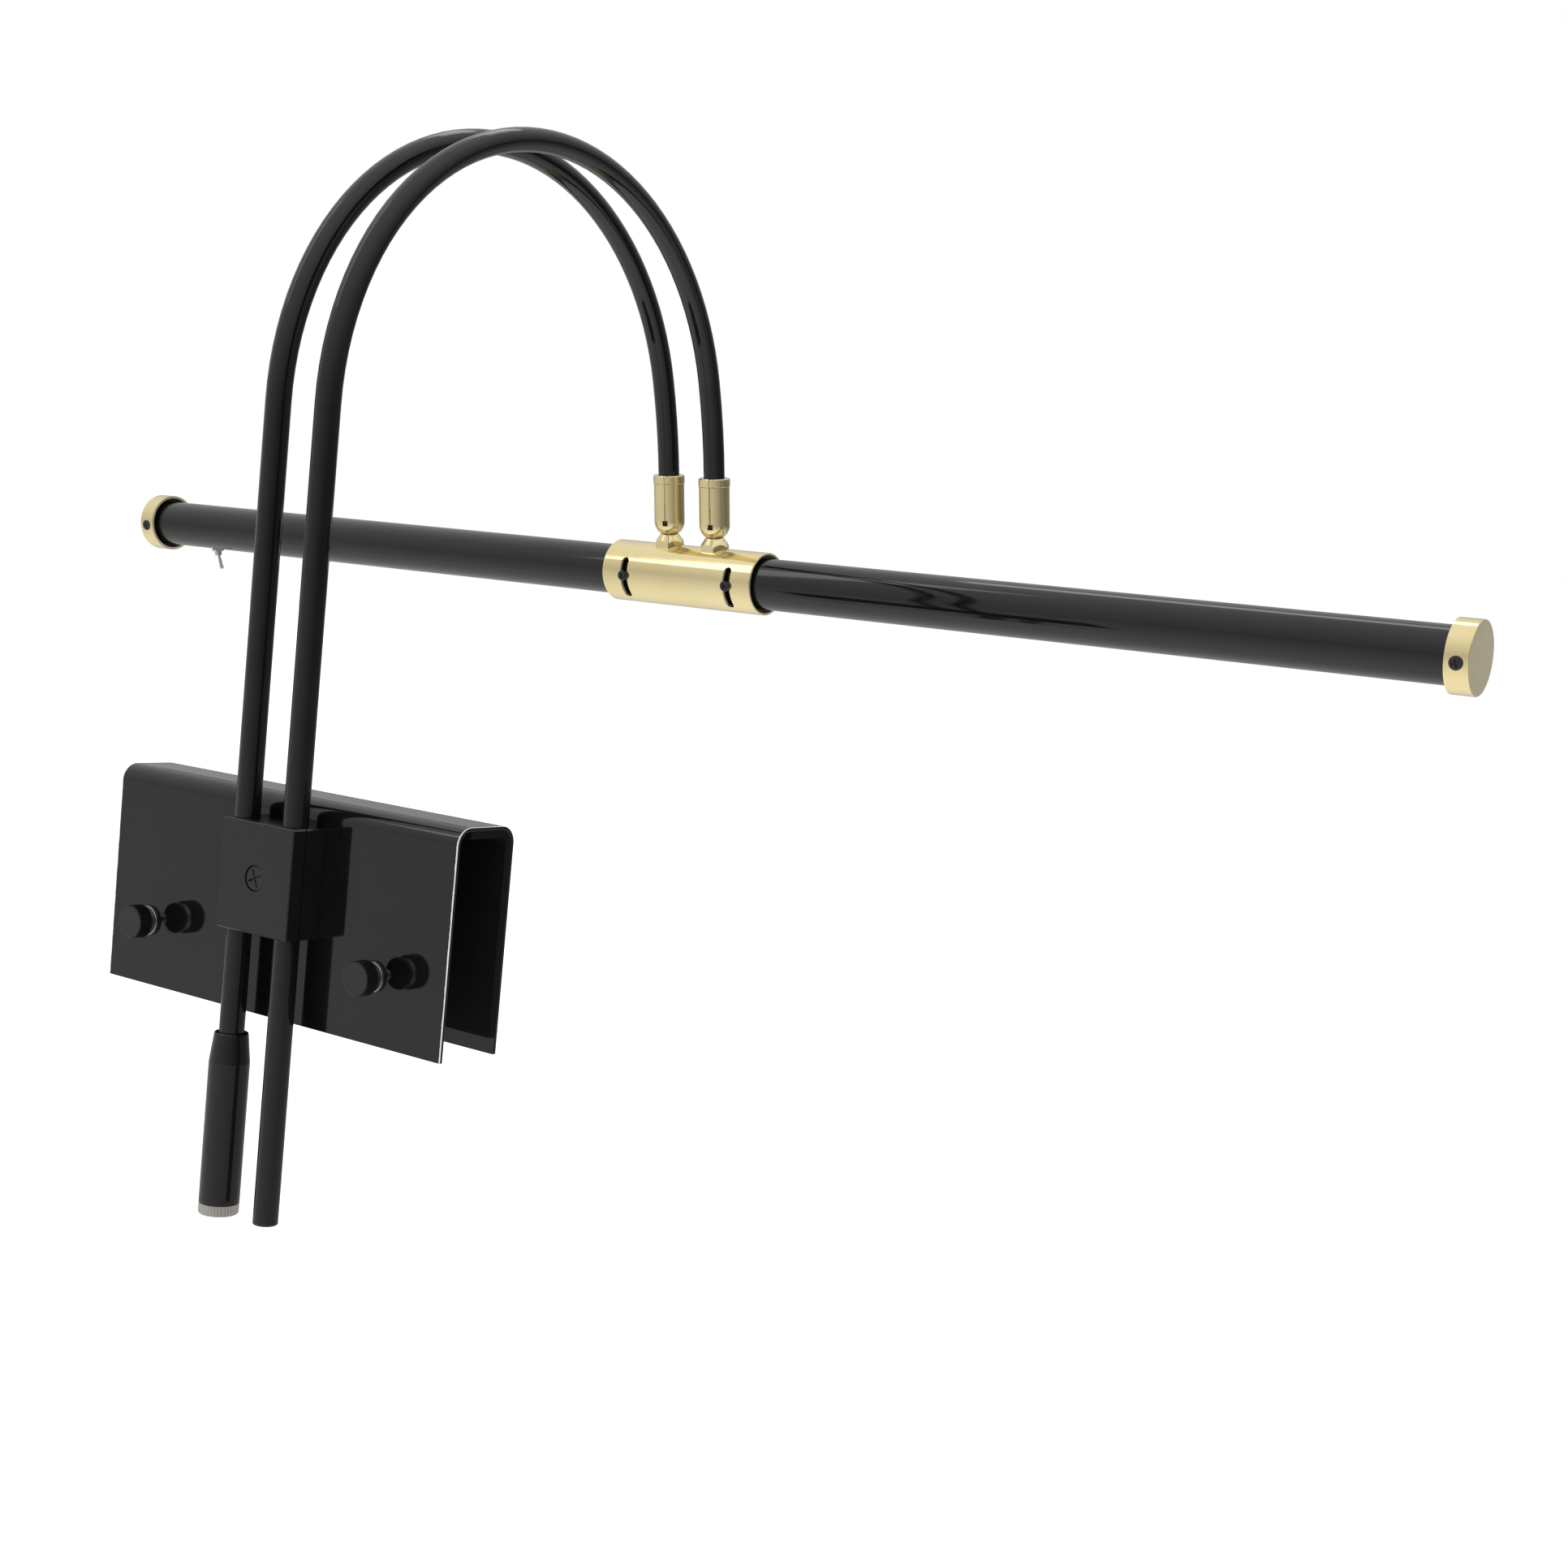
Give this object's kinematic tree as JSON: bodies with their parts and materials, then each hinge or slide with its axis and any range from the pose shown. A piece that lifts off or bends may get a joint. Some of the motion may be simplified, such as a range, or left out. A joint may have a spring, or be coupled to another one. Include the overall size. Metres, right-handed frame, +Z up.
{
  "type": "picture light",
  "caption": "Clip-on picture light: a slim tube lamp swivels under two arched arms, which slide in a clamp block on a lined channel with thumb screws.",
  "frame": {"origin": "middle of the lining under the channel's top, where the channel rests on the edge it grips", "axes": "+X along the light tube, +Y from the arms' legs towards the light tube, +Z up along the channel's plates"},
  "size_m": [0.6096, 0.2222, 0.3572],
  "materials": {
    "black_gloss": "gloss black paint",
    "black_block": "satin black paint",
    "black_screws": "black oxide",
    "brass": "polished and lacquered",
    "nickel": "nickel plate",
    "steel": "zinc plate",
    "pad_metal": "satin black",
    "felt": "pressed felt",
    "pad_rubber": "matte",
    "black_plastic": "moulded",
    "gloss_housing": "gloss moulded",
    "lead_sheath": "smooth",
    "carrier_alloy": "extruded",
    "circuit_board": "white solder mask",
    "led_phosphor": "moulded",
    "diffuser": "frosted"
  },
  "bodies": {
    "bracket": {"bracket_channel": "black_gloss", "felt_lining": "felt", "block_base": "black_block", "clamp_nut": "steel", "base_screws": "steel", "thumb_nuts": "steel"},
    "clamp_jaw_body": {"clamp_jaw": "black_block"},
    "clamp_screw_body": {"clamp_screw": "black_screws"},
    "left_pad": {"left_pad_plate": "pad_metal", "left_pad_facing": "pad_rubber"},
    "right_pad": {"right_pad_plate": "pad_metal", "right_pad_facing": "pad_rubber"},
    "left_screw": {"left_thumb_screw": "black_screws"},
    "right_screw": {"right_thumb_screw": "black_screws"},
    "arms": {"left_arm": "black_gloss", "right_arm": "black_gloss", "arm_plug": "black_plastic", "connector_housing": "gloss_housing", "connector_ring": "nickel", "jack_insulator": "black_plastic", "jack_pin": "nickel", "jack_contact": "nickel", "arm_lead": "lead_sheath", "left_cup": "brass", "right_cup": "brass", "left_collar": "brass", "right_collar": "brass", "left_nipple": "brass", "right_nipple": "brass", "left_ball_seat": "black_plastic", "right_ball_seat": "black_plastic"},
    "shade": {"sleeve": "brass", "left_bush": "black_plastic", "right_bush": "black_plastic", "left_ball_stem": "brass", "right_ball_stem": "brass", "stem_lead": "lead_sheath"},
    "light_tube": {"tube_shell": "black_gloss", "left_end_cap": "brass", "right_end_cap": "brass", "left_end_plug": "black_plastic", "right_end_plug": "black_plastic", "cap_screws": "black_screws", "slot_screws": "black_screws", "slot_nuts": "steel", "left_carrier": "carrier_alloy", "right_carrier": "carrier_alloy", "left_led_board": "circuit_board", "right_led_board": "circuit_board", "leds": "led_phosphor", "left_diffuser": "diffuser", "right_diffuser": "diffuser", "driver_board": "circuit_board", "driver_parts": "black_plastic", "tube_leads": "lead_sheath", "switch_body": "black_plastic", "switch_bushing": "nickel", "switch_nut": "nickel"},
    "lever": {"switch_lever": "nickel"}
  },
  "joints": [
    {"name": "arm_slide", "type": "slide", "parent": "bracket", "child": "arms", "axis": [0, 0, 1], "range_m": [-0.12, 0.032]},
    {"name": "shade_tilt", "type": "hinge", "parent": "arms", "child": "shade", "pos_m": [0.004, 0.1819, 0.10359], "axis": [1, 0, 0], "range_deg": [-15, 15]},
    {"name": "light_turn", "type": "hinge", "parent": "shade", "child": "light_tube", "pos_m": [0.004, 0.18546, 0.0834], "axis": [1, 0, 0], "range_deg": [-27, 39]},
    {"name": "switch_throw", "type": "hinge", "parent": "light_tube", "child": "lever", "pos_m": [-0.264, 0.18744, 0.07217], "axis": [0, 0.9848, 0.1736], "range_deg": [0, 30]},
    {"name": "clamp_screw_turn", "type": "hinge", "parent": "clamp_jaw_body", "child": "clamp_screw_body", "pos_m": [0.004, -0.0236, -0.022], "axis": [0, -1, 0], "range_deg": [0, 720]},
    {"name": "jaw_slide", "type": "slide", "parent": "bracket", "child": "clamp_jaw_body", "axis": [0, -1, 0], "range_m": [0, 0.00161]},
    {"name": "left_pad_slide", "type": "slide", "parent": "bracket", "child": "left_pad", "axis": [0, 1, 0], "range_m": [-0.00278, 0.00318]},
    {"name": "left_screw_turn", "type": "hinge", "parent": "left_pad", "child": "left_screw", "pos_m": [-0.051, -0.0245, -0.0449], "axis": [0, 1, 0], "range_deg": [-1260, 1440]},
    {"name": "right_pad_slide", "type": "slide", "parent": "bracket", "child": "right_pad", "axis": [0, 1, 0], "range_m": [-0.00278, 0.00318]},
    {"name": "right_screw_turn", "type": "hinge", "parent": "right_pad", "child": "right_screw", "pos_m": [0.051, -0.0245, -0.0449], "axis": [0, 1, 0], "range_deg": [-1260, 1440]}
  ],
  "couplings": [
    {"joint": "jaw_slide", "follows": "clamp_screw_turn", "m_per_rad": 0.00012732},
    {"joint": "left_pad_slide", "follows": "left_screw_turn", "m_per_rad": 0.00012633},
    {"joint": "right_pad_slide", "follows": "right_screw_turn", "m_per_rad": 0.00012633}
  ]
}
